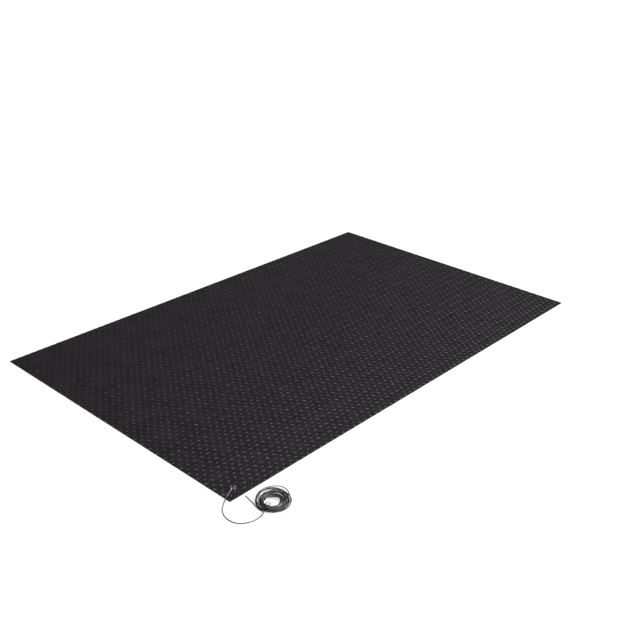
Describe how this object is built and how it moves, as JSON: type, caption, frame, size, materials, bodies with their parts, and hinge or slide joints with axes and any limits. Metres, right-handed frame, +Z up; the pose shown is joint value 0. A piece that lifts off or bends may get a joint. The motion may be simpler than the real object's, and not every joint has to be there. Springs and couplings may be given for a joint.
{
  "type": "static-control floor mat with ground cord",
  "caption": "Thin embossed static-dissipative floor mat lying flat, with a coiled ground cord that snaps to one corner and ends in a ring terminal.",
  "frame": {"origin": "on the floor, under the middle of the mat", "axes": "+X along the mat's long side, away from the snap; +Y along its short side, away from the snap; +Z up"},
  "size_m": [1.887, 1.305, 0.0168],
  "materials": {
    "wear_vinyl": "low-sheen embossed vinyl, charcoal",
    "backing_rubber": "matt foam-free rubber, black",
    "scrim": "carbon-loaded woven scrim, black",
    "nickel": "bright nickel plate",
    "washer_steel": "dull zinc plate",
    "spring_wire": "bright drawn wire",
    "eyelet_brass": "plain brass",
    "cap_black": "moulded black plastic, slight gloss",
    "resistor_enamel": "tan lacquer",
    "tinned_wire": "tinned copper",
    "copper_strands": "bare twisted copper",
    "sleeve_grey": "heat-shrunk sleeve, charcoal, satin",
    "cord_grey": "flexible PVC, dark grey, satin",
    "tin_plate": "bright tin plate",
    "sleeve_red": "deep red vinyl",
    "tie_grey": "plastic-covered wire, dark grey"
  },
  "bodies": {
    "mat": {"backing_layer": "backing_rubber", "conductive_scrim": "scrim", "wear_layer": "wear_vinyl", "snap_stud": "nickel", "stud_rivet": "nickel", "contact_washer": "washer_steel", "cord_lead": "cord_grey", "cord_coil": "cord_grey", "cord_end": "cord_grey", "ring_terminal": "tin_plate", "terminal_sleeve": "sleeve_red", "terminal_strands": "copper_strands", "coil_tie": "tie_grey"},
    "cord_snap": {"snap_socket": "nickel", "socket_spring": "spring_wire", "socket_eyelet": "eyelet_brass"},
    "cord_head": {"cord_lug": "nickel", "snap_cap": "cap_black", "resistor_body": "resistor_enamel", "resistor_leads": "tinned_wire", "splice_ferrule": "tinned_wire", "cord_strands": "copper_strands", "strain_sleeve": "sleeve_grey"}
  },
  "joints": [
    {"name": "snap_release", "type": "slide", "parent": "mat", "child": "cord_head", "axis": [0, 0, 1], "range_m": [0, 0.015], "deforming": ["socket_spring", "cord_lead"]},
    {"name": "snap_swivel", "type": "hinge", "parent": "cord_head", "child": "cord_snap", "pos_m": [-0.8675, -0.5455, 0.0086], "axis": [0, 0, 1], "continuous": true}
  ]
}
